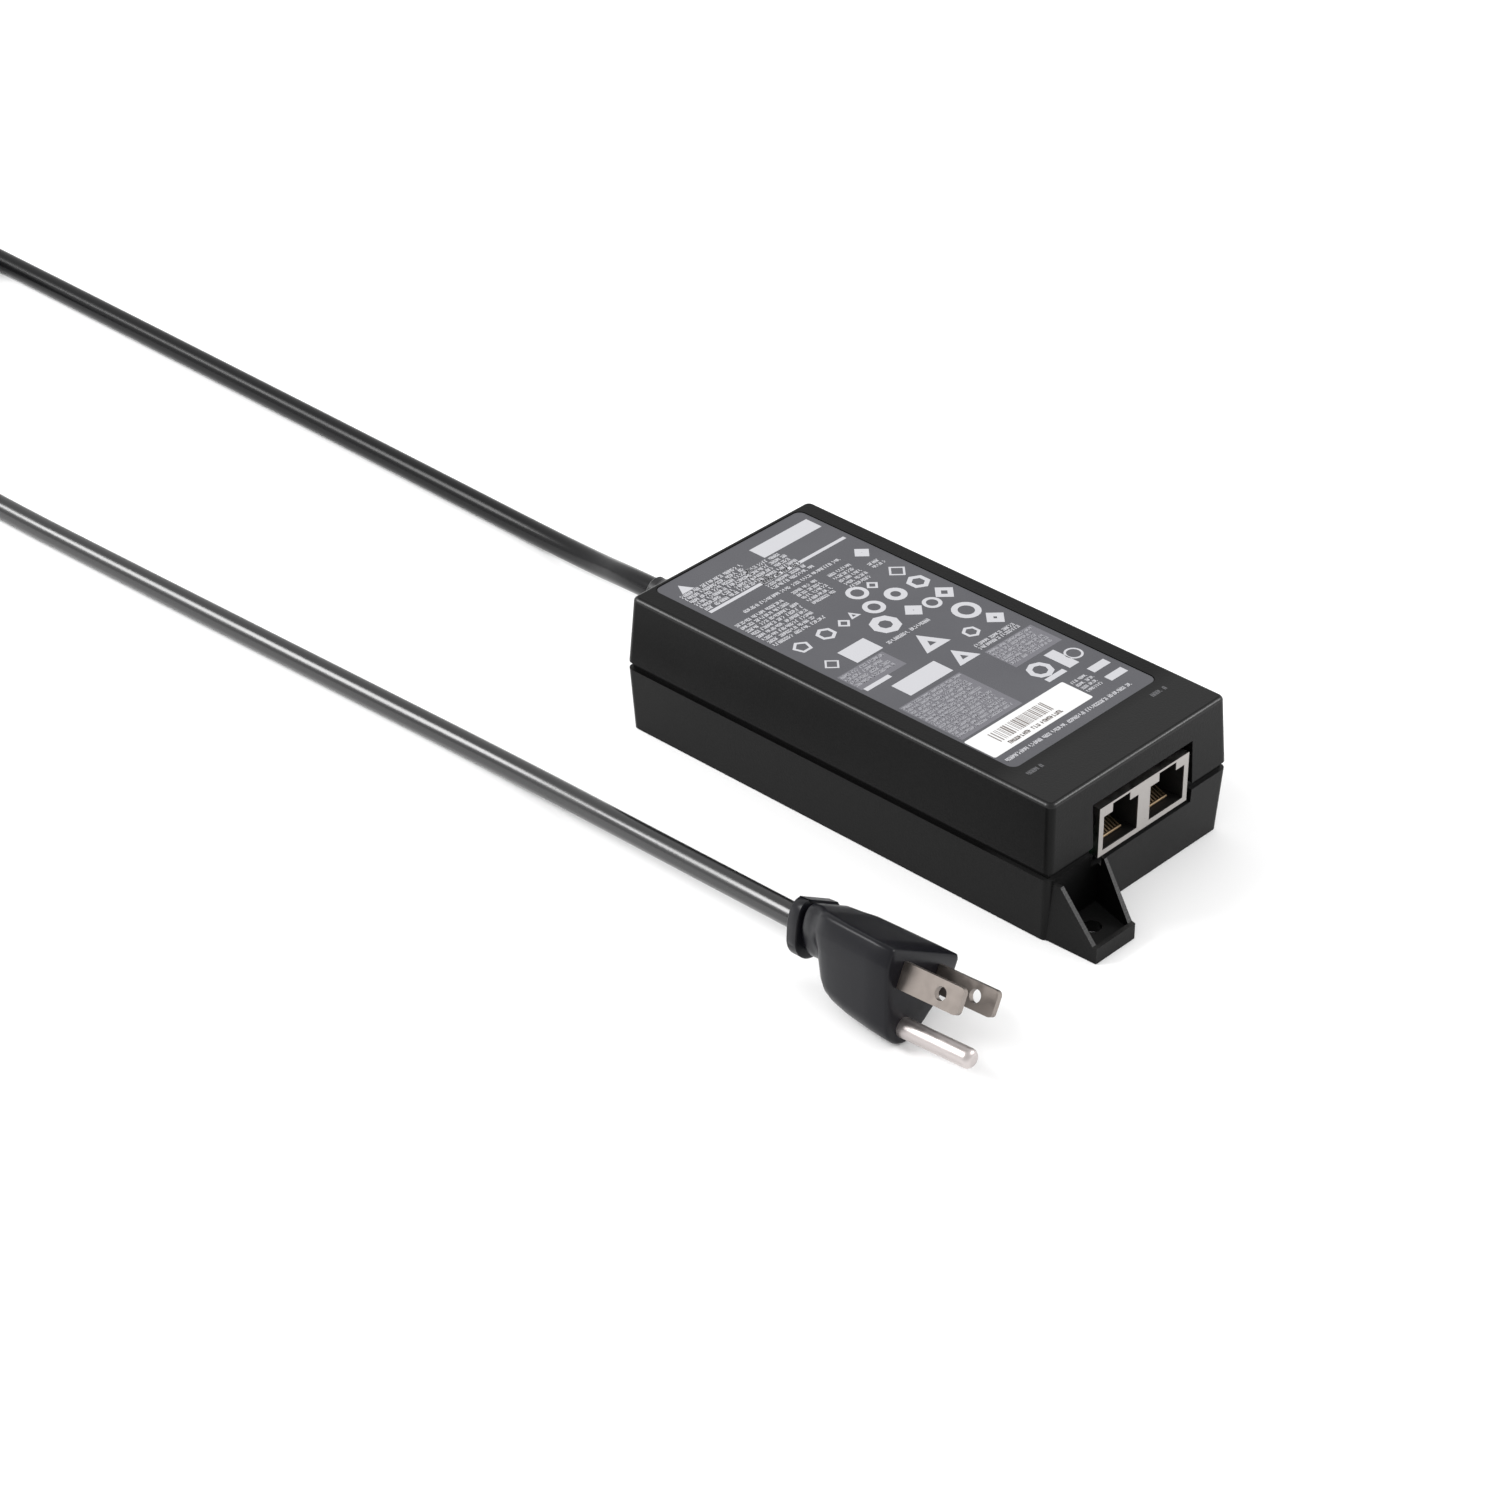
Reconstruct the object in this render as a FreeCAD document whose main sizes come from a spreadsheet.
import FreeCAD, Part
import math
import os
import Sketcher

# Power-over-Ethernet injector: a two-part plastic case with a dual network jack at the
# front, mains electronics inside and a captive mains cord with a three-pin plug.
# Millimetres.  +Z is up, +X is to the right seen from the jack end, the jack end faces -Y.
# The origin is at the middle of the underside of the case.

doc = FreeCAD.newDocument("poe_injector")
sheet = doc.addObject("Spreadsheet::Sheet", "dims")

SIZES = {
    # case
    "case_length": 133.0,
    "case_width": 65.0,
    "case_height": 37.0,
    "parting_height": 19.0,
    "top_draft": 1.0,
    "bottom_draft": 0.9,
    "wall": 2.0,
    "cut_margin": 1.0,
    "floor_thickness": 2.2,
    "roof_thickness": 2.2,
    "corner_radius": 1.8,
    "rim_radius": 1.2,
    "reveal_height": 1.9,
    "reveal_depth": 1.2,
    "tongue_width": 0.8,
    "tongue_depth": 1.5,
    "tongue_gap": 0.1,
    # wall tabs
    "tab_reach": 13.0,
    "tab_hole_reach": 5.6,
    "tab_inner_edge": 13.5,
    "tab_outer_edge": 31.0,
    "tab_tip_inner_edge": 16.7,
    "tab_tip_outer_edge": 30.5,
    "tab_height": 16.0,
    "tab_tip_height": 4.2,
    "tab_wall": 1.2,
    "tab_floor": 3.0,
    "tab_shoulder": 2.1,
    "tab_hole_radius": 2.25,
    "tab_wall_clearance": 0.2,
    # label and sticker
    "label_width": 51.6,
    "label_length": 113.2,
    "label_middle_x": 0.4,
    "label_middle_y": 7.2,
    "label_radius": 2.0,
    "label_recess": 0.4,
    "label_gap": 0.2,
    "label_thickness": 0.25,
    "sticker_width": 35.0,
    "sticker_length": 9.4,
    "sticker_thickness": 0.1,
    "sticker_middle_x": -7.5,
    "sticker_middle_y": -38.8,
    "sticker_radius": 0.5,
    # network jack
    "jack_width": 32.4,
    "jack_height": 13.4,
    "jack_depth": 18.0,
    "jack_middle": 1.8,
    "jack_setback": 0.5,
    "jack_gap_left": 2.6,
    "jack_gap_right": 1.2,
    "jack_gap_above": 2.4,
    "jack_gap_below": 1.0,
    "shield_thickness": 0.3,
    "port_spacing": 16.8,
    "port_width": 12.4,
    "port_height": 9.2,
    "port_floor": 1.4,
    "port_depth": 14.0,
    "latch_width": 6.2,
    "latch_height": 2.2,
    "wire_thickness": 0.45,
    "wire_pitch": 1.016,
    "wire_length": 10.6,
    "wire_slope": 21.0,
    "wire_pivot_radius": 0.4,
    "wire_pivot_depth": 3.0,
    "wire_pivot_lift": 0.5,
    # board
    "board_width": 56.0,
    "board_front": -62.0,
    "board_rear": 56.0,
    "board_thickness": 1.6,
    "board_top": 14.6,
    "post_x": 25.0,
    "post_front": -58.0,
    "post_rear": 53.0,
    "post_radius": 3.0,
    "screw_radius": 1.25,
    "screw_depth": 6.0,
    "screw_clearance": 1.6,
    "screw_head_radius": 2.6,
    "screw_head_height": 1.8,
    "sheet_width": 42.0,
    "sheet_thickness": 0.3,
    # mains cord
    "cord_radius": 3.0,
    "cord_exit_height": 15.5,
    "cord_inner_end": 58.0,
    "relief_hole_radius": 5.0,
    "relief_flange_radius": 7.0,
    "relief_flange": 2.0,
    "relief_root_radius": 6.0,
    "relief_tip_radius": 3.6,
    "relief_length": 22.0,
    "relief_collar": 2.0,
    "relief_gap": 0.1,
    "lead_radius": 0.8,
    "lead_gap": 0.4,
    "lead_run": 7.0,
    "lead_rise": 1.1,
    "lead_lift": 0.02,
    "lead_spread": 1.6,
    "coil_x": -26.25,
    "coil_y": 402.0,
    "coil_inner": 26.25,
    "coil_outer": 45.75,
    "coil_height": 12.0,
    "tie_width": 9.0,
    "tie_thickness": 0.8,
    # plug
    "plug_length": 34.7,
    "plug_neck": 31.0,
    "cord_height_in_plug": 0.0,
    "cord_depth_in_plug": 4.7,
    "blade_spacing": 12.7,
    "blade_width": 6.3,
    "blade_thickness": 1.5,
    "blade_reach": 17.5,
    "blade_root": 10.0,
    "blade_tip_radius": 1.2,
    "blade_hole_radius": 1.6,
    "blade_hole_setback": 5.8,
    "pin_radius": 2.4,
    "pin_reach": 20.5,
    "pin_drop": 11.9,
    "pin_tip_radius": 1.6,
    # transformer
    "transformer_x": 2.0,
    "transformer_y": -4.0,
    "transformer_width": 26.0,
    "transformer_length": 22.0,
    "transformer_height": 18.0,
    "transformer_leg": 7.0,
    "transformer_yoke": 4.0,
    "winding_height": 9.5,
    "winding_gap": 0.3,
    # choke
    "choke_x": 12.0,
    "choke_y": 44.0,
    "choke_inner": 4.5,
    "choke_outer": 8.5,
    "choke_height": 7.0,
    "choke_winding_radius": 4.8,
    "choke_sweep": 140.0,
}

# Boxes that stand on the board.
BOXES = {
    "x_capacitor": (-13.5, 50.0, 14.0, 8.0, 14.0),
    "bridge_rectifier": (14.0, 29.5, 15.0, 3.5, 11.0),
    "primary_heatsink": (25.0, 8.0, 2.0, 30.0, 17.0),
    "switching_transistor": (21.75, 8.0, 4.5, 10.0, 15.0),
    "optocoupler": (-17.0, 3.0, 6.5, 4.6, 3.5),
    "secondary_heatsink": (-25.0, -14.0, 2.0, 22.0, 16.0),
    "output_rectifier": (-21.75, -14.0, 4.5, 10.0, 15.0),
    "lan_transformer_1": (-8.0, -40.0, 15.0, 9.0, 6.0),
    "lan_transformer_2": (12.0, -40.0, 15.0, 9.0, 6.0),
    "poe_controller_chip": (-21.0, -33.0, 7.0, 7.0, 1.2),
}
BOX_WORDS = ("x", "y", "width", "length", "height")

# Round parts: those that stand, and those that lie along or across the board.
STANDING = {
    "output_capacitor_1": (20.0, -26.0, 5.0, 16.0),
    "output_capacitor_2": (8.0, -26.0, 5.0, 16.0),
}
LYING_ALONG = {
    "bulk_capacitor": (-8.0, 16.0, 8.5, 26.0),
    "fuse": (-24.0, 29.0, 2.6, 20.0),
}
LYING_ACROSS = {
    "varistor": (-26.0, 21.0, 4.5, 4.0),
    "y_capacitor": (-24.5, 11.0, 4.0, 3.0),
}
ROUND_WORDS = ("x", "y", "radius", "length")

# Sections of the plug's grip, from the face with the blades back to the neck, and of its
# collar: y, half width, height of the flat top, height of the corner below each side,
# height of the middle of the round underside, radius of the underside.
GRIP_SECTIONS = {
    "plug_face": (0.0, 12.5, 5.6, 0.6, -9.4, 6.8),
    "plug_middle": (14.0, 11.6, 6.0, 0.5, -8.2, 6.4),
    "plug_shoulder": (21.5, 10.4, 6.3, 0.3, -5.9, 5.9),
    "plug_waist": (25.0, 8.8, 6.3, 0.6, -1.1, 5.2),
    "plug_throat": (31.0, 6.6, 5.4, 0.5, -1.0, 4.7),
    "plug_collar": (31.0, 7.2, 6.2, 0.7, -1.5, 5.9),
}
GRIP_WORDS = ("y", "half_width", "top", "corner", "round_middle", "round_radius")


def named_sizes(table, words):
    """Give each number of a table of parts its own name for the sheet."""
    return {f"{label}_{word}": number
            for label, numbers in table.items()
            for word, number in zip(words, numbers)}


SIZES.update(named_sizes(BOXES, BOX_WORDS))
for round_parts in (STANDING, LYING_ALONG, LYING_ACROSS):
    SIZES.update(named_sizes(round_parts, ROUND_WORDS))
SIZES.update(named_sizes(GRIP_SECTIONS, GRIP_WORDS))

for row, (alias, number) in enumerate(SIZES.items(), start=1):
    sheet.set(f"A{row}", alias)
    sheet.set(f"B{row}", str(number))
    sheet.setAlias(f"B{row}", alias)
doc.recompute()


class Size:
    """A length that remembers which cells of the sheet it is worked out from."""

    def __init__(self, text, number):
        self.text = text
        self.number = number

    def combined(self, sign, other, number):
        return Size(f"({self.text} {sign} {other.text})", number)

    def __add__(self, other):
        other = as_size(other)
        return self.combined("+", other, self.number + other.number)

    def __sub__(self, other):
        other = as_size(other)
        return self.combined("-", other, self.number - other.number)

    def __mul__(self, other):
        other = as_size(other)
        return self.combined("*", other, self.number * other.number)

    def __truediv__(self, other):
        other = as_size(other)
        return self.combined("/", other, self.number / other.number)

    def __radd__(self, other):
        return as_size(other) + self

    def __rsub__(self, other):
        return as_size(other) - self

    def __rmul__(self, other):
        return as_size(other) * self

    def __neg__(self):
        return as_size(0) - self

    def __float__(self):
        return float(self.number)


def as_size(value):
    """Turn a plain number into a Size."""
    if isinstance(value, Size):
        return value
    return Size(f"({float(value)})", float(value))


class Cells:
    """The cells of the sheet, each by its alias."""

    def __getattr__(self, alias):
        return Size(f"dims.{alias}", float(sheet.get(alias)))


d = Cells()


def cells_of(label, words):
    """The sizes of one part of a table, in the order of the words."""
    return [getattr(d, f"{label}_{word}") for word in words]


def bind(thing, prop, value):
    """Tie a property of a feature to the cells that its size comes from."""
    thing.setExpression(prop, as_size(value).text)


# ---------------------------------------------------------------- sketches and bodies

def new_body(label):
    """Start a body and give it its label."""
    body = doc.addObject("PartDesign::Body", label)
    body.Label = label
    return body


def sketch_on(body, name, role, shift=(0, 0, 0)):
    """Put a sketch on one of the body's origin planes, moved in the plane's own axes."""
    sketch = body.newObject("Sketcher::SketchObject", name)
    plane = next(item for item in body.Origin.OriginFeatures if item.Role == role)
    sketch.AttachmentSupport = (plane, [""])
    sketch.MapMode = "FlatFace"
    for axis, value in zip("xyz", shift):
        bind(sketch, f"AttachmentOffset.Base.{axis}", value)
    return sketch


def flat(body, name, height, x=0, y=0):
    """A level sketch at the given height, centred at x, y."""
    return sketch_on(body, name, "XY_Plane", (x, y, height))


def upright(body, name, y, x=0, z=0):
    """A sketch across the case at the given y, centred at x, z."""
    return sketch_on(body, name, "XZ_Plane", (x, z, -as_size(y)))


def close_loop(sketch, lines):
    """Join a run of lines end to end into a loop."""
    for here, after in zip(lines, lines[1:] + lines[:1]):
        sketch.addConstraint(Sketcher.Constraint("Coincident", here, 2, after, 1))


def measured(sketch, kind, references, value):
    """Add a dimension that follows the sheet."""
    value = as_size(value)
    index = sketch.addConstraint(Sketcher.Constraint(kind, *references, value.number))
    sketch.setExpression(f"Constraints[{index}]", value.text)


def rectangle(sketch, width, height):
    """Draw a rectangle centred on the sketch's origin."""
    half_x = float(as_size(width)) / 2
    half_y = float(as_size(height)) / 2
    corners = [
        FreeCAD.Vector(-half_x, -half_y, 0),
        FreeCAD.Vector(half_x, -half_y, 0),
        FreeCAD.Vector(half_x, half_y, 0),
        FreeCAD.Vector(-half_x, half_y, 0),
    ]
    lines = []
    for start, end in zip(corners, corners[1:] + corners[:1]):
        lines.append(sketch.addGeometry(Part.LineSegment(start, end), False))
    close_loop(sketch, lines)
    for line, kind in zip(lines, ("Horizontal", "Vertical", "Horizontal", "Vertical")):
        sketch.addConstraint(Sketcher.Constraint(kind, line))
    sketch.addConstraint(Sketcher.Constraint("Symmetric", lines[0], 1, lines[2], 1, -1, 1))
    measured(sketch, "DistanceX", (lines[0], 1, lines[0], 2), width)
    measured(sketch, "DistanceY", (lines[1], 1, lines[1], 2), height)
    return sketch


def circle(sketch, radius):
    """Draw a circle centred on the sketch's origin."""
    shape = Part.Circle(FreeCAD.Vector(0, 0, 0), FreeCAD.Vector(0, 0, 1), float(as_size(radius)))
    ring = sketch.addGeometry(shape, False)
    sketch.addConstraint(Sketcher.Constraint("Coincident", ring, 3, -1, 1))
    measured(sketch, "Radius", (ring,), radius)
    return sketch


def polygon(sketch, points):
    """Draw a closed outline of straight lines through points measured from the origin."""
    vectors = [FreeCAD.Vector(float(as_size(x)), float(as_size(y)), 0) for x, y in points]
    lines = []
    for start, end in zip(vectors, vectors[1:] + vectors[:1]):
        lines.append(sketch.addGeometry(Part.LineSegment(start, end), False))
    close_loop(sketch, lines)
    for line, (x, y) in zip(lines, points):
        measured(sketch, "DistanceX", (-1, 1, line, 1), x)
        measured(sketch, "DistanceY", (-1, 1, line, 1), y)
    return sketch


def grip_outline(sketch, half_width, top, corner, round_middle, round_radius):
    """Draw the plug's section: flat top, upright sides, then slants down to a round underside."""
    half = float(half_width)
    top_z = float(top)
    corner_z = float(corner)
    centre_z = float(round_middle)
    radius = float(round_radius)
    # the slant touches the round where the radius is square to it
    across = half
    rise = corner_z - centre_z
    reach = math.hypot(across, rise)
    touch = math.atan2(rise, across) - math.acos(radius / reach)
    touch_x = radius * math.cos(touch)
    touch_z = centre_z + radius * math.sin(touch)
    corners = [(-touch_x, touch_z), (-half, corner_z), (-half, top_z), (half, top_z),
               (half, corner_z), (touch_x, touch_z)]
    vectors = [FreeCAD.Vector(x, z, 0) for x, z in corners]
    lines = []
    for start, end in zip(vectors, vectors[1:]):
        lines.append(sketch.addGeometry(Part.LineSegment(start, end), False))
    full_round = Part.Circle(FreeCAD.Vector(0, centre_z, 0), FreeCAD.Vector(0, 0, 1), radius)
    arc = Part.ArcOfCircle(full_round, math.pi - touch, 2 * math.pi + touch)
    under = sketch.addGeometry(arc, False)
    for here, after in zip(lines, lines[1:]):
        sketch.addConstraint(Sketcher.Constraint("Coincident", here, 2, after, 1))
    left_slant, left_side, flat_top, right_side, right_slant = lines
    # the arc runs anticlockwise, so its first end is on the left
    sketch.addConstraint(Sketcher.Constraint("Tangent", left_slant, 1, under, 1))
    sketch.addConstraint(Sketcher.Constraint("Tangent", right_slant, 2, under, 2))
    sketch.addConstraint(Sketcher.Constraint("Vertical", left_side))
    sketch.addConstraint(Sketcher.Constraint("Horizontal", flat_top))
    sketch.addConstraint(Sketcher.Constraint("Vertical", right_side))
    sketch.addConstraint(Sketcher.Constraint("Symmetric", left_side, 1, right_side, 2, -2))
    sketch.addConstraint(Sketcher.Constraint("PointOnObject", under, 3, -2))
    measured(sketch, "DistanceX", (-1, 1, right_side, 1), half_width)
    measured(sketch, "DistanceY", (-1, 1, right_side, 1), top)
    measured(sketch, "DistanceY", (-1, 1, right_side, 2), corner)
    measured(sketch, "DistanceY", (-1, 1, under, 3), round_middle)
    measured(sketch, "Radius", (under,), round_radius)
    return sketch


def add_feature(body, kind, name):
    return body.newObject("PartDesign::" + kind, name)


def volume(thing):
    """The volume so far, 0 while there is no shape."""
    if thing.Shape.isNull():
        return 0.0
    return thing.Shape.Volume


def check_change(body, before, name, grows):
    """Stop when a feature changed nothing, or changed it the wrong way."""
    doc.recompute()
    change = volume(body) - before
    if (change > 0) != grows or abs(change) < 1e-3:
        raise ValueError(f"{name} changed the volume by {change:.3f}")


def pad(body, name, sketch, length, reverse=False):
    """Add material along the sketch's normal, or against it."""
    before = volume(body)
    feature = add_feature(body, "Pad", name)
    feature.Profile = sketch
    feature.Reversed = reverse
    bind(feature, "Length", length)
    check_change(body, before, name, True)
    return feature


def pocket(body, name, sketch, depth, reverse=False):
    """Cut against the sketch's normal, or along it."""
    before = volume(body)
    feature = add_feature(body, "Pocket", name)
    feature.Profile = sketch
    feature.Reversed = reverse
    bind(feature, "Length", depth)
    check_change(body, before, name, False)
    return feature


def loft(body, name, first, last):
    """Add the solid between two sketches."""
    before = volume(body)
    feature = add_feature(body, "AdditiveLoft", name)
    feature.Profile = first
    feature.Sections = [last]
    check_change(body, before, name, True)
    return feature


def edge_names(shape, wanted):
    """The names of the edges that pass a test."""
    return [f"Edge{i}" for i, edge in enumerate(shape.Edges, start=1) if wanted(edge)]


def round_edges(body, name, base, edges, radius):
    """Round some edges of a feature."""
    feature = add_feature(body, "Fillet", name)
    feature.Base = (base, edges)
    bind(feature, "Radius", radius)
    doc.recompute()
    return feature


def height_span(edge):
    heights = [vertex.Z for vertex in edge.Vertexes]
    return max(heights) - min(heights)


# ---------------------------------------------------------------- primitives

def place(thing, at, rotation=None):
    """Place a feature, with its position tied to the sheet."""
    if rotation is not None:
        thing.Placement = FreeCAD.Placement(FreeCAD.Vector(0, 0, 0), rotation)
    for axis, value in zip("xyz", at):
        bind(thing, f"Placement.Base.{axis}", value)


def primitive(kind, name, at, rotation=None, **sizes):
    """Make a Part primitive whose sizes and position follow the sheet."""
    thing = doc.addObject("Part::" + kind, name)
    for prop, value in sizes.items():
        bind(thing, prop, value)
    place(thing, at, rotation)
    return thing


def block(name, middle_x, middle_y, bottom, width, length, height):
    """A box given by the middle of its underside."""
    at = (middle_x - as_size(width) / 2, middle_y - as_size(length) / 2, bottom)
    return primitive("Box", name, at, Length=width, Width=length, Height=height)


ALONG_Y = FreeCAD.Rotation(FreeCAD.Vector(1, 0, 0), -90)
ALONG_X = FreeCAD.Rotation(FreeCAD.Vector(0, 1, 0), 90)


def rod(name, at, radius, length, rotation=None):
    """A cylinder that starts at a point."""
    return primitive("Cylinder", name, at, rotation, Radius=radius, Height=length)


def cut(name, base, tool):
    thing = doc.addObject("Part::Cut", name)
    thing.Base = base
    thing.Tool = tool
    return thing


def fuse(name, things):
    thing = doc.addObject("Part::MultiFuse", name)
    thing.Shapes = things
    return thing


# ---------------------------------------------------------------- case

cavity_width = d.case_width - 2 * d.bottom_draft - 2 * d.wall
cavity_length = d.case_length - 2 * d.bottom_draft - 2 * d.wall
jack_front = -d.case_length / 2 + d.jack_setback
jack_bottom = d.board_top
jack_top = jack_bottom + d.jack_height


def drafted_shell(body, low, high, neutral, draft):
    """The outside of one cover: straight at its neutral height and drafted in from there."""
    outline = rectangle(flat(body, body.Name + "_outline", low), d.case_width, d.case_length)
    shell = pad(body, body.Name + "_block", outline, high - low)
    level = float(neutral)
    sides = []
    for index, face in enumerate(shell.Shape.Faces, start=1):
        box = face.BoundBox
        if box.ZLength > 1 and min(box.XLength, box.YLength) < 1e-6:
            if max(abs(box.XMin), abs(box.YMin)) > float(d.case_width) / 2 - 1e-6:
                sides.append(f"Face{index}")
        elif box.ZLength < 1e-6 and abs(box.ZMin - level) < 1e-6:
            neutral_face = f"Face{index}"
    before = volume(body)
    drafted = add_feature(body, "Draft", body.Name + "_draft")
    drafted.Base = (shell, sides)
    drafted.NeutralPlane = (shell, [neutral_face])
    drafted.Reversed = float(neutral) > float(low)
    drafted.setExpression("Angle", f"atan({draft.text} / {(high - low).text})")
    check_change(body, before, body.Name + "_draft", False)
    return drafted


def jack_cutout(body):
    """Open the front wall around the network jack."""
    y = -d.case_length / 2 - d.cut_margin
    middle_x = d.jack_middle + (d.jack_gap_right - d.jack_gap_left) / 2
    middle_z = (jack_bottom - d.jack_gap_below + jack_top + d.jack_gap_above) / 2
    outline = rectangle(
        upright(body, body.Name + "_jack_outline", y, middle_x, middle_z),
        d.jack_width + d.jack_gap_left + d.jack_gap_right,
        d.jack_height + d.jack_gap_above + d.jack_gap_below)
    pocket(body, body.Name + "_jack_opening", outline, d.wall + d.bottom_draft + 2 * d.cut_margin)


def cord_cutout(body):
    """Open the rear wall for the strain relief."""
    y = d.case_length / 2 + d.cut_margin
    outline = circle(upright(body, body.Name + "_cord_outline", y, 0, d.cord_exit_height),
                     d.relief_hole_radius)
    pocket(body, body.Name + "_cord_opening", outline,
           d.wall + d.bottom_draft + 2 * d.cut_margin, reverse=True)


def make_top_cover():
    """Upper half of the case, with the recess for the label and a tongue below its edge."""
    body = new_body("top_cover")
    shell = drafted_shell(body, d.parting_height, d.case_height, d.parting_height, d.top_draft)
    corners = edge_names(shell.Shape, lambda edge: height_span(edge) > 1)
    rounded = round_edges(body, "top_cover_corners", shell, corners, d.corner_radius)
    top = float(d.case_height)
    rim = edge_names(
        rounded.Shape,
        lambda edge: height_span(edge) < 1e-6 and abs(edge.Vertexes[0].Z - top) < 1e-6)
    round_edges(body, "top_cover_rim", rounded, rim, d.rim_radius)
    cavity = rectangle(
        flat(body, "top_cover_cavity_outline", d.parting_height), cavity_width, cavity_length)
    pocket(body, "top_cover_cavity", cavity,
           d.case_height - d.parting_height - d.roof_thickness, reverse=True)
    recess = rectangle(
        flat(body, "top_cover_recess_outline", d.case_height, d.label_middle_x,
             d.label_middle_y),
        d.label_width + 2 * d.label_gap, d.label_length + 2 * d.label_gap)
    recess_cut = pocket(body, "top_cover_recess", recess, d.label_recess)
    floor_height = top - float(d.label_recess)
    recess_corners = edge_names(
        recess_cut.Shape,
        lambda edge: abs(height_span(edge) - float(d.label_recess)) < 1e-6
        and abs(min(v.Z for v in edge.Vertexes) - floor_height) < 1e-6)
    round_edges(body, "top_cover_recess_corners", recess_cut, recess_corners,
                d.label_radius + d.label_gap)
    # the tongue is the outer frame less the inside of the cavity
    tongue = flat(body, "top_cover_tongue_outline", d.parting_height)
    rectangle(tongue, cavity_width + 2 * d.tongue_width, cavity_length + 2 * d.tongue_width)
    rectangle(tongue, cavity_width, cavity_length)
    pad(body, "top_cover_tongue", tongue, d.tongue_depth, reverse=True)
    jack_cutout(body)
    cord_cutout(body)
    return body


def tab_plan(body, name, side, height, back, thickness):
    """Plan of a wall tab from its back edge to its tip, less the thickness of its walls."""
    tip = d.case_length / 2 + d.tab_reach - thickness
    return polygon(flat(body, name, height), [
        (-side * (d.tab_outer_edge - thickness), -side * back),
        (-side * (d.tab_tip_outer_edge - thickness), -side * tip),
        (-side * (d.tab_tip_inner_edge + thickness), -side * tip),
        (-side * (d.tab_inner_edge + thickness), -side * back),
    ])


def add_wall_tab(body, name, side):
    """A gusseted tab with a screw hole: side 1 is at the front left, -1 at the rear right."""
    root = d.case_length / 2 - d.bottom_draft - d.wall / 2
    shoulder = d.case_length / 2 + d.tab_shoulder
    lip = d.case_length / 2 + d.tab_reach - d.tab_wall
    beyond = d.case_length / 2 + d.tab_reach + d.cut_margin
    above = d.tab_height + d.cut_margin
    plan = tab_plan(body, name + "_plan", side, 0, root, 0)
    pad(body, name + "_block", plan, d.tab_height)
    slope = polygon(sketch_on(body, name + "_slope_outline", "YZ_Plane"), [
        (-side * shoulder, above),
        (-side * shoulder, d.tab_height),
        (-side * lip, d.tab_tip_height),
        (-side * beyond, d.tab_tip_height),
        (-side * beyond, above),
    ])
    pocket(body, name + "_slope", slope, d.case_width / 2, reverse=side < 0)
    hollow = tab_plan(body, name + "_hollow_plan", side, d.tab_height,
                      d.case_length / 2 - d.tab_wall_clearance, d.tab_wall)
    pocket(body, name + "_hollow", hollow, d.tab_height - d.tab_floor)
    middle = (d.tab_inner_edge + d.tab_outer_edge) / 2
    tip_middle = (d.tab_tip_inner_edge + d.tab_tip_outer_edge) / 2
    hole = circle(
        flat(body, name + "_hole_outline", d.tab_floor, -side * (middle + tip_middle) / 2,
             -side * (d.case_length / 2 + d.tab_hole_reach)),
        d.tab_hole_radius)
    pocket(body, name + "_hole", hole, d.tab_floor)


def make_bottom_cover():
    """Lower half of the case, with its tabs, board posts and stepped upper edge."""
    body = new_body("bottom_cover")
    step_height = d.parting_height - d.reveal_height
    shell = drafted_shell(body, as_size(0), step_height, step_height, d.bottom_draft)
    corners = edge_names(shell.Shape, lambda edge: height_span(edge) > 1)
    round_edges(body, "bottom_cover_corners", shell, corners, d.corner_radius)
    add_wall_tab(body, "front_tab", 1)
    add_wall_tab(body, "rear_tab", -1)
    band = rectangle(
        flat(body, "bottom_cover_band_outline", step_height),
        d.case_width - 2 * d.reveal_depth, d.case_length - 2 * d.reveal_depth)
    pad(body, "bottom_cover_band", band, d.reveal_height)
    cavity = rectangle(
        flat(body, "bottom_cover_cavity_outline", d.parting_height), cavity_width, cavity_length)
    pocket(body, "bottom_cover_cavity", cavity, d.parting_height - d.floor_thickness)
    rabbet_width = d.tongue_width + d.tongue_gap
    rabbet = rectangle(
        flat(body, "bottom_cover_rabbet_outline", d.parting_height),
        cavity_width + 2 * rabbet_width, cavity_length + 2 * rabbet_width)
    pocket(body, "bottom_cover_rabbet", rabbet, d.tongue_depth + d.tongue_gap)
    post_height = d.board_top - d.board_thickness - d.floor_thickness
    for end, y in (("front", d.post_front), ("rear", d.post_rear)):
        for hand, x in (("left", -d.post_x), ("right", d.post_x)):
            name = f"post_{end}_{hand}"
            foot = circle(flat(body, name + "_outline", d.floor_thickness, x, y), d.post_radius)
            pad(body, name, foot, post_height)
            bore = circle(
                flat(body, name + "_bore_outline", d.floor_thickness + post_height, x, y),
                d.screw_radius)
            pocket(body, name + "_bore", bore, d.screw_depth)
    jack_cutout(body)
    cord_cutout(body)
    return body


def rounded_plate(label, middle_x, middle_y, bottom, width, length, thickness, radius):
    """A thin plate with rounded corners."""
    body = new_body(label)
    outline = rectangle(flat(body, label + "_outline", bottom, middle_x, middle_y), width, length)
    plate = pad(body, label + "_plate", outline, thickness)
    corners = edge_names(plate.Shape, lambda edge: height_span(edge) > 1e-3)
    round_edges(body, label + "_corners", plate, corners, radius)
    return body


def make_label():
    """Rating label in the recess of the top cover."""
    return rounded_plate(
        "rating_label", d.label_middle_x, d.label_middle_y, d.case_height - d.label_recess,
        d.label_width, d.label_length, d.label_thickness, d.label_radius)


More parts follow.
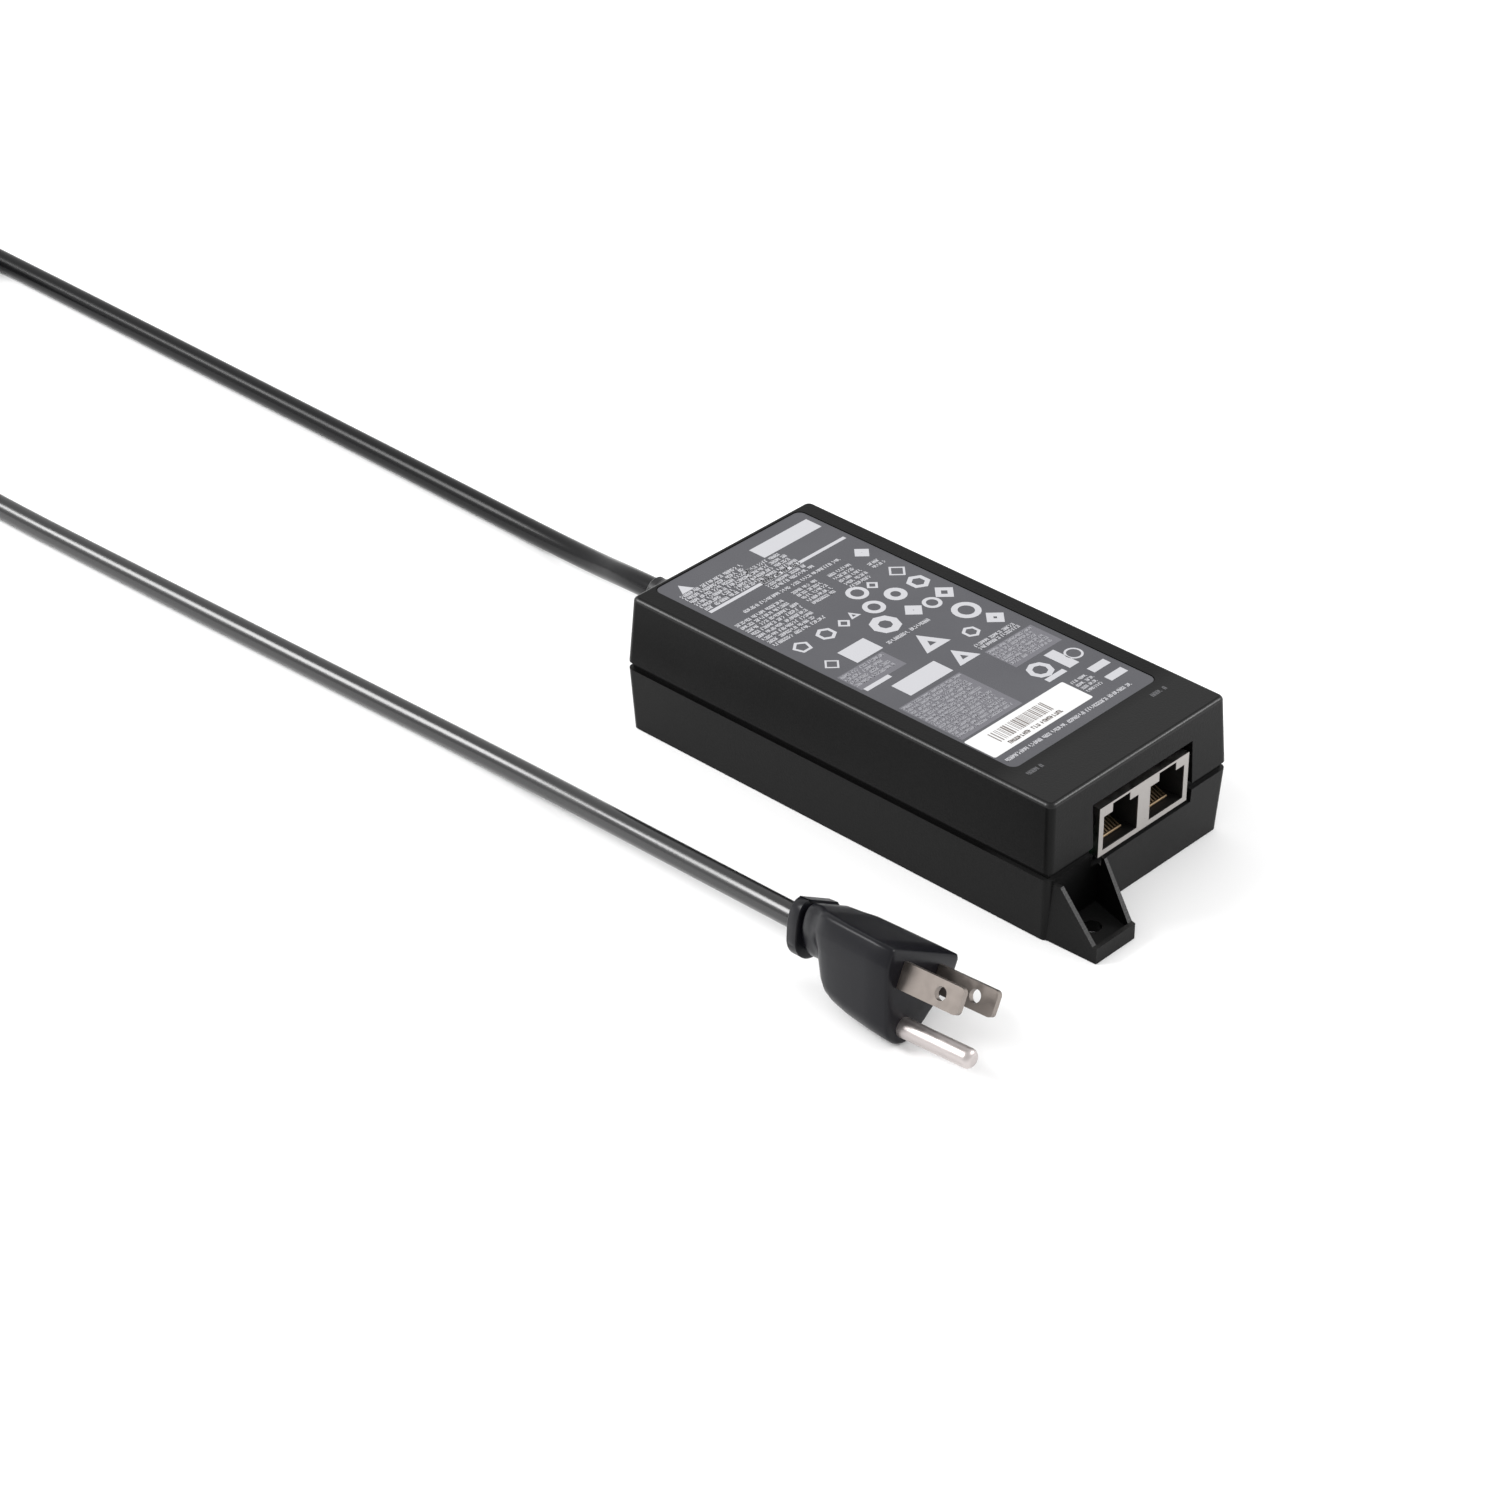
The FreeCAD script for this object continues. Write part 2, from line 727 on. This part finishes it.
def make_sticker():
    """Serial number sticker on the label."""
    return rounded_plate(
        "serial_sticker", d.sticker_middle_x, d.sticker_middle_y,
        d.case_height - d.label_recess + d.label_thickness,
        d.sticker_width, d.sticker_length, d.sticker_thickness, d.sticker_radius)


# ---------------------------------------------------------------- network jack

PORTS = {"data_in": -1, "power_out": 1}


def port_cutouts(body, depth, start):
    """Cut both ports, each with its latch notch, from a plane in front of the jack."""
    for port, side in PORTS.items():
        x = d.jack_middle + side * d.port_spacing / 2
        floor = jack_bottom + d.port_floor
        opening = rectangle(
            upright(body, f"{body.Name}_{port}_outline", start, x, floor + d.port_height / 2),
            d.port_width, d.port_height)
        pocket(body, f"{body.Name}_{port}_opening", opening, depth)
        notch = rectangle(
            upright(body, f"{body.Name}_{port}_notch_outline", start, x,
                    floor + d.port_height + d.latch_height / 2),
            d.latch_width, d.latch_height)
        pocket(body, f"{body.Name}_{port}_notch", notch, depth)


def make_jack_shield():
    """Metal can round the jack, open below and at the two ports."""
    body = new_body("jack_shield")
    front = rectangle(
        upright(body, "jack_shield_outline", jack_front, d.jack_middle,
                (jack_bottom + jack_top) / 2),
        d.jack_width, d.jack_height)
    pad(body, "jack_shield_can", front, d.jack_depth, reverse=True)
    inside = rectangle(
        flat(body, "jack_shield_inside_outline", jack_bottom, d.jack_middle,
             jack_front + d.jack_depth / 2),
        d.jack_width - 2 * d.shield_thickness, d.jack_depth - 2 * d.shield_thickness)
    pocket(body, "jack_shield_inside", inside, d.jack_height - d.shield_thickness, reverse=True)
    port_cutouts(body, d.cut_margin + 2 * d.shield_thickness, jack_front - d.cut_margin)
    return body


def make_jack_housing():
    """Plastic block inside the shield, with the two port cavities."""
    body = new_body("jack_housing")
    front_y = jack_front + d.shield_thickness
    front = rectangle(
        upright(body, "jack_housing_outline", front_y, d.jack_middle,
                (jack_bottom + jack_top - d.shield_thickness) / 2),
        d.jack_width - 2 * d.shield_thickness, d.jack_height - d.shield_thickness)
    pad(body, "jack_housing_block", front, d.jack_depth - 2 * d.shield_thickness, reverse=True)
    port_cutouts(body, d.cut_margin + d.port_depth, front_y - d.cut_margin)
    return body


def make_contacts(port, side):
    """Eight sprung contact wires of one port, joined by a bar at their front bend."""
    label = port + "_contacts"
    pivot_y = jack_front + d.wire_pivot_depth
    pivot_z = jack_bottom + d.port_floor + d.wire_pivot_lift
    middle = d.jack_middle + side * d.port_spacing / 2
    bar_length = 7 * d.wire_pitch + d.wire_thickness
    bar = rod(label + "_bar", (middle - bar_length / 2, pivot_y, pivot_z),
              d.wire_pivot_radius, bar_length, ALONG_X)
    slope = FreeCAD.Rotation(FreeCAD.Vector(1, 0, 0), float(d.wire_slope))
    wires = [bar]
    for number in range(8):
        x = middle + (number - 3.5) * d.wire_pitch - d.wire_thickness / 2
        wires.append(primitive(
            "Box", f"{label}_wire_{number + 1}", (x, pivot_y, pivot_z - d.wire_thickness / 2),
            slope, Length=d.wire_thickness, Width=d.wire_length, Height=d.wire_thickness))
    comb = fuse(label, wires)
    comb.Label = label
    return comb


# ---------------------------------------------------------------- electronics

def make_board():
    """Circuit board on the four posts."""
    body = new_body("main_board")
    length = d.board_rear - d.board_front
    outline = rectangle(
        flat(body, "main_board_outline", d.board_top - d.board_thickness, 0,
             (d.board_rear + d.board_front) / 2),
        d.board_width, length)
    pad(body, "main_board_plate", outline, d.board_thickness)
    for end, y in (("front", d.post_front), ("rear", d.post_rear)):
        for hand, x in (("left", -d.post_x), ("right", d.post_x)):
            name = f"board_hole_{end}_{hand}"
            hole = circle(flat(body, name + "_outline", d.board_top, x, y), d.screw_clearance)
            pocket(body, name, hole, d.board_thickness)
    return body


def make_board_screw(end, hand, x, y):
    """Pan-head screw that holds one corner of the board."""
    label = f"board_screw_{end}_{hand}"
    reach = d.screw_depth + d.board_thickness
    shank = rod(label + "_shank", (x, y, d.board_top - reach), d.screw_radius, reach)
    head = rod(label + "_head", (x, y, d.board_top), d.screw_head_radius, d.screw_head_height)
    screw = fuse(label, [shank, head])
    screw.Label = label
    return screw


def make_board_screws():
    screws = []
    for end, y in (("front", d.post_front), ("rear", d.post_rear)):
        for hand, x in (("left", -d.post_x), ("right", d.post_x)):
            screws.append(make_board_screw(end, hand, x, y))
    return screws


def make_boxes():
    """Box-shaped parts that stand on the board."""
    made = []
    for label in BOXES:
        x, y, width, length, height = cells_of(label, BOX_WORDS)
        thing = block(label, x, y, d.board_top, width, length, height)
        thing.Label = label
        made.append(thing)
    return made


def make_round_parts():
    """Round parts that stand on the board, and round parts that lie on it."""
    made = []
    for label in STANDING:
        x, y, radius, length = cells_of(label, ROUND_WORDS)
        made.append(rod(label, (x, y, d.board_top), radius, length))
    for labels, rotation in ((LYING_ALONG, ALONG_Y), (LYING_ACROSS, ALONG_X)):
        for label in labels:
            x, y, radius, length = cells_of(label, ROUND_WORDS)
            made.append(rod(label, (x, y, d.board_top + radius), radius, length, rotation))
    for thing in made:
        thing.Label = thing.Name
    return made


def make_transformer():
    """Ferrite core of three legs, and the winding round its middle leg."""
    x = d.transformer_x
    y = d.transformer_y
    leg = d.transformer_leg
    yoke = d.transformer_yoke
    window_width = (d.transformer_width - leg) / 2 - yoke
    window_x = leg / 2 + window_width / 2
    window_height = d.transformer_height - 2 * yoke
    core_length = d.transformer_length / 2
    whole = block("core_block", x, y, d.board_top, d.transformer_width, core_length,
                  d.transformer_height)
    windows = []
    for name, side in (("core_window_left", -1), ("core_window_right", 1)):
        windows.append(block(name, x + side * window_x, y, d.board_top + yoke, window_width,
                             d.transformer_length, window_height))
    core = cut("transformer_core", whole, fuse("core_windows", windows))
    core.Label = "transformer_core"
    lift = (window_height - d.winding_height) / 2 + yoke
    bobbin = block("winding_block", x, y, d.board_top + lift,
                   leg + 2 * window_width - 2 * d.winding_gap, d.transformer_length,
                   d.winding_height)
    middle_leg = block("winding_leg", x, y, d.board_top + yoke, leg, core_length, window_height)
    winding = cut("transformer_winding", bobbin, middle_leg)
    winding.Label = "transformer_winding"
    return [core, winding]


def make_choke():
    """Ring core with a winding on each side of it."""
    middle = d.board_top + d.choke_winding_radius
    low = middle - d.choke_height / 2
    at = (d.choke_x, d.choke_y, low)

    def ring(name):
        outside = rod(name + "_outside", at, d.choke_outer, d.choke_height)
        hole = rod(name + "_hole", at, d.choke_inner, d.choke_height)
        return cut(name, outside, hole)

    core = ring("choke_core")
    core.Label = "choke_core"
    made = [core]
    first = -float(d.choke_sweep) / 2
    for name, start in (("choke_winding_line", first), ("choke_winding_neutral", 180 + first)):
        turn = FreeCAD.Rotation(FreeCAD.Vector(0, 0, 1), start)
        sleeve = primitive("Torus", name + "_sleeve", (d.choke_x, d.choke_y, middle), turn,
                           Radius1=(d.choke_inner + d.choke_outer) / 2,
                           Radius2=d.choke_winding_radius, Angle3=d.choke_sweep)
        winding = cut(name, sleeve, ring(name + "_ring"))
        winding.Label = name
        made.append(winding)
    return made


def make_insulation_sheet():
    """Insulating sheet on the floor of the case."""
    thing = block("insulation_sheet", as_size(0), (d.board_front + d.board_rear) / 2,
                  d.floor_thickness, d.sheet_width, d.board_rear - d.board_front,
                  d.sheet_thickness)
    thing.Label = "insulation_sheet"
    return thing


# ---------------------------------------------------------------- cord

def tangent_path(points, smallest):
    """Straight runs joined by arcs, each arc as large as its two runs allow."""
    vectors = [FreeCAD.Vector(*point) for point in points]
    edges = []
    radii = []
    at = vectors[0]
    for before, corner, after in zip(vectors, vectors[1:], vectors[2:]):
        towards = (corner - before).normalize()
        away = (after - corner).normalize()
        half_turn = towards.getAngle(away) / 2
        trim = 0.45 * min((corner - before).Length, (after - corner).Length)
        radius = trim / math.tan(half_turn)
        start = corner - towards * trim
        end = corner + away * trim
        middle_side = (away - towards).normalize()
        centre = corner + middle_side * (radius / math.cos(half_turn))
        middle = centre - middle_side * radius
        edges.append(Part.LineSegment(at, start).toShape())
        edges.append(Part.Arc(start, middle, end).toShape())
        radii.append(radius)
        at = end
    edges.append(Part.LineSegment(at, vectors[-1]).toShape())
    if min(radii) < smallest:
        raise ValueError(f"a bend has a radius of only {min(radii):.1f}")
    return Part.Wire(edges), radii


def tube(label, points, radius, smallest):
    """A round tube along a tangent path."""
    path, radii = tangent_path(points, smallest)
    first = FreeCAD.Vector(*points[0])
    direction = FreeCAD.Vector(*points[1]) - first
    ring = Part.Wire([Part.Circle(first, direction, radius).toShape()])
    shape = path.makePipeShell([ring], True, False)
    expected = math.pi * radius ** 2 * path.Length
    if abs(shape.Volume - expected) > 0.01 * expected:
        raise ValueError(f"{label}: volume {shape.Volume:.0f}, expected {expected:.0f}")
    thing = doc.addObject("Part::Feature", label)
    thing.Shape = shape
    thing.Placement = FreeCAD.Placement()
    thing.Label = label
    rounded = ", ".join(f"{value:.0f}" for value in radii)
    print(f"{label}: {path.Length:.0f} mm long, bend radii {rounded}")
    return thing


PLUG_PLACEMENT = FreeCAD.Placement(
    FreeCAD.Vector(-76.4, -66.5, 14.95),
    FreeCAD.Rotation(FreeCAD.Vector(0, 0, 1), -0.5)
    * FreeCAD.Rotation(FreeCAD.Vector(1, 0, 0), -4.3)
    * FreeCAD.Rotation(FreeCAD.Vector(0, 1, 0), 30.0))


def make_cord():
    """The cord from the case to its coil, and from the coil to the plug."""
    radius = float(d.cord_radius)
    floor = radius
    exit_height = float(d.cord_exit_height)
    start = (0.0, float(d.cord_inner_end), exit_height)
    case_run = [
        start, (0.0, 91.0, exit_height), (13.2, 127.0, floor), (14.5, 198.0, floor),
        (15.6, 284.0, floor), (16.3, 350.0, floor), (16.5, 398.0, floor),
    ]
    depth = float(d.plug_length) - float(d.cord_depth_in_plug)
    plug_end = PLUG_PLACEMENT.multVec(
        FreeCAD.Vector(0, depth, float(d.cord_height_in_plug)))
    plug_run = [
        (-69.0, 398.0, 9.0), (-69.3, 368.0, 8.6), (-70.9, 331.0, floor), (-73.8, 268.0, floor),
        (-71.8, 200.0, floor), (-69.5, 130.0, floor), (-67.5, 70.0, floor),
        (-73.8, 6.0, 9.8), tuple(plug_end),
    ]
    smallest = 5 * 2 * radius
    return [
        tube("power_cord_case_run", case_run, radius, smallest),
        tube("power_cord_plug_run", plug_run, radius, smallest),
    ]


def coil_section(name, grow, low, high):
    """A ring round the coil's axis, between its inner and outer turns."""
    outside = rod(name + "_outside", (d.coil_x, d.coil_y, low), d.coil_outer + grow, high - low)
    inside = rod(name + "_inside", (d.coil_x, d.coil_y, low), d.coil_inner - grow, high - low)
    return cut(name + "_ring", outside, inside)


def make_tie():
    """Strap round the coil's turns, on the side away from the case."""
    middle_y = d.coil_y + (d.coil_inner + d.coil_outer) / 2
    thick = d.tie_thickness
    depth = d.coil_outer - d.coil_inner
    outside = block("tie_outside", d.coil_x, middle_y, 0, d.tie_width, depth + 2 * thick,
                    d.coil_height + thick)
    inside = coil_section("tie_turns", 0, thick, d.coil_height)
    tie = cut("cord_tie", outside, inside)
    tie.Label = "cord_tie"
    return tie


def make_coil(tie):
    """Outer shape of the coiled length, notched where the strap passes round it."""
    ring = coil_section("coil_turns", 0, as_size(0), d.coil_height)
    coil = cut("cord_coil", ring, tie)
    coil.Label = "cord_coil"
    return coil


def make_strain_relief():
    """Tapered sleeve, held in the rear wall by the groove between its flanges."""
    body = new_body("strain_relief")
    sketch = sketch_on(body, "strain_relief_profile", "YZ_Plane", (0, d.cord_exit_height, 0))
    inner_face = cavity_length / 2
    outer_face = d.case_length / 2 + d.relief_gap
    inside_end = inner_face - d.relief_flange
    tip = d.case_length / 2 + d.relief_length
    polygon(sketch, [
        (inside_end, d.cord_radius),
        (tip, d.cord_radius),
        (tip, d.relief_tip_radius),
        (outer_face + d.relief_collar, d.relief_root_radius),
        (outer_face, d.relief_root_radius),
        (outer_face, d.relief_hole_radius),
        (inner_face, d.relief_hole_radius),
        (inner_face, d.relief_flange_radius),
        (inside_end, d.relief_flange_radius),
    ])
    turned = add_feature(body, "Revolution", "strain_relief_sleeve")
    turned.Profile = sketch
    turned.ReferenceAxis = (sketch, ["H_Axis"])
    turned.Angle = 360
    doc.recompute()
    return body


def make_leads():
    """Three leads from the end of the cord to the board."""
    radius = float(d.lead_radius)
    rest = float(d.board_top) + radius
    start_y = float(d.cord_inner_end) - float(d.lead_gap)
    spread = float(d.lead_spread)
    run = float(d.lead_run)
    low = rest + float(d.lead_lift)
    made = []
    for label, start_x, start_z, end_x in (
            ("live_lead", -spread, rest, -4.3),
            ("neutral_lead", 0.0, rest + float(d.lead_rise), -2.45),
            ("earth_lead", spread, rest, -0.6)):
        points = [(start_x, start_y, start_z), (end_x, start_y - run, low),
                  (end_x, start_y - 2 * run, low)]
        made.append(tube(label, points, radius, 3 * radius))
    return made


# ---------------------------------------------------------------- plug

def make_plug_body():
    """Moulded grip of the plug, with slots for the blades and a bore for the cord."""
    body = new_body("plug_body")

    def section(label, name):
        y, *sizes = cells_of(label, GRIP_WORDS)
        return grip_outline(upright(body, name, y), *sizes)

    grip = ["plug_face", "plug_middle", "plug_shoulder", "plug_waist", "plug_throat"]
    for ahead, behind in zip(grip, grip[1:]):
        loft(body, behind + "_part", section(ahead, ahead + "_front"),
             section(behind, behind + "_back"))
    collar = section("plug_collar", "plug_collar_outline")
    pad(body, "plug_collar_flange", collar, d.plug_length - d.plug_neck, reverse=True)
    for name, side in (("line_slot", -1), ("neutral_slot", 1)):
        slot = rectangle(upright(body, name + "_outline", 0, side * d.blade_spacing / 2, 0),
                         d.blade_thickness, d.blade_width)
        pocket(body, name, slot, d.blade_root)
    bore = circle(upright(body, "pin_bore_outline", 0, 0, -d.pin_drop), d.pin_radius)
    pocket(body, "pin_bore", bore, d.blade_root)
    cord_bore = circle(
        upright(body, "cord_bore_outline", d.plug_length, 0, d.cord_height_in_plug),
        d.cord_radius)
    pocket(body, "cord_bore", cord_bore, d.cord_depth_in_plug, reverse=True)
    body.Placement = PLUG_PLACEMENT
    return body


def make_blade(label, side):
    """Flat blade with a hole near its tip."""
    body = new_body(label)
    outline = rectangle(
        upright(body, label + "_outline", d.blade_root, side * d.blade_spacing / 2, 0),
        d.blade_thickness, d.blade_width)
    blade = pad(body, label + "_bar", outline, d.blade_root + d.blade_reach)
    tip_edges = edge_names(
        blade.Shape,
        lambda edge: edge.Length < float(d.blade_thickness) + 1e-6
        and all(v.Y < -float(d.blade_reach) + 1e-6 for v in edge.Vertexes))
    round_edges(body, label + "_tip", blade, tip_edges, d.blade_tip_radius)
    hole_side = side * d.blade_spacing / 2 - d.blade_thickness / 2 - d.cut_margin
    hole = circle(
        sketch_on(body, label + "_hole_outline", "YZ_Plane",
                  (d.blade_hole_setback - d.blade_reach, 0, hole_side)),
        d.blade_hole_radius)
    pocket(body, label + "_hole", hole, d.blade_thickness + 2 * d.cut_margin, reverse=True)
    body.Placement = PLUG_PLACEMENT
    return body


def make_ground_pin():
    """Round earth pin with a rounded tip."""
    body = new_body("ground_pin")
    outline = circle(upright(body, "ground_pin_outline", d.blade_root, 0, -d.pin_drop),
                     d.pin_radius)
    pin = pad(body, "ground_pin_rod", outline, d.blade_root + d.pin_reach)
    tip_edge = edge_names(
        pin.Shape,
        lambda edge: all(v.Y < -float(d.pin_reach) + 1e-6 for v in edge.Vertexes))
    round_edges(body, "ground_pin_tip", pin, tip_edge, d.pin_tip_radius)
    body.Placement = PLUG_PLACEMENT
    return body


# ---------------------------------------------------------------- assembly

def make_all():
    """Build every sub-part."""
    tie = make_tie()
    nodes = [make_top_cover(), make_bottom_cover(), make_label(), make_sticker(),
             make_jack_shield(), make_jack_housing()]
    nodes += [make_contacts(port, side) for port, side in PORTS.items()]
    nodes += [make_board(), make_insulation_sheet()]
    nodes += make_board_screws() + make_boxes() + make_round_parts()
    nodes += make_transformer() + make_choke() + make_leads()
    nodes += [make_strain_relief(), *make_cord(), make_coil(tie), tie]
    nodes += [make_plug_body(), make_blade("line_blade", -1), make_blade("neutral_blade", 1),
              make_ground_pin()]
    return nodes


def check_document():
    """Stop on any feature that did not compute."""
    for thing in doc.Objects:
        if "Invalid" in thing.State or "Error" in thing.State:
            raise ValueError(f"{thing.Name} is {thing.State}")


def write(nodes):
    """Write one file for each sub-part."""
    os.makedirs("parts", exist_ok=True)
    for node in nodes:
        if node.Shape.isNull() or not node.Shape.isValid():
            raise ValueError(f"{node.Label} has no valid shape")
        if len(node.Shape.Solids) != 1:
            raise ValueError(f"{node.Label} has {len(node.Shape.Solids)} solids")
        node.Shape.exportStep(f"parts/{node.Label}.step")
        box = node.Shape.BoundBox
        print(f"{node.Label}: x {box.XMin:.1f} {box.XMax:.1f}  y {box.YMin:.1f} {box.YMax:.1f}"
              f"  z {box.ZMin:.2f} {box.ZMax:.2f}")


sub_parts = make_all()
doc.recompute()
check_document()
write(sub_parts)
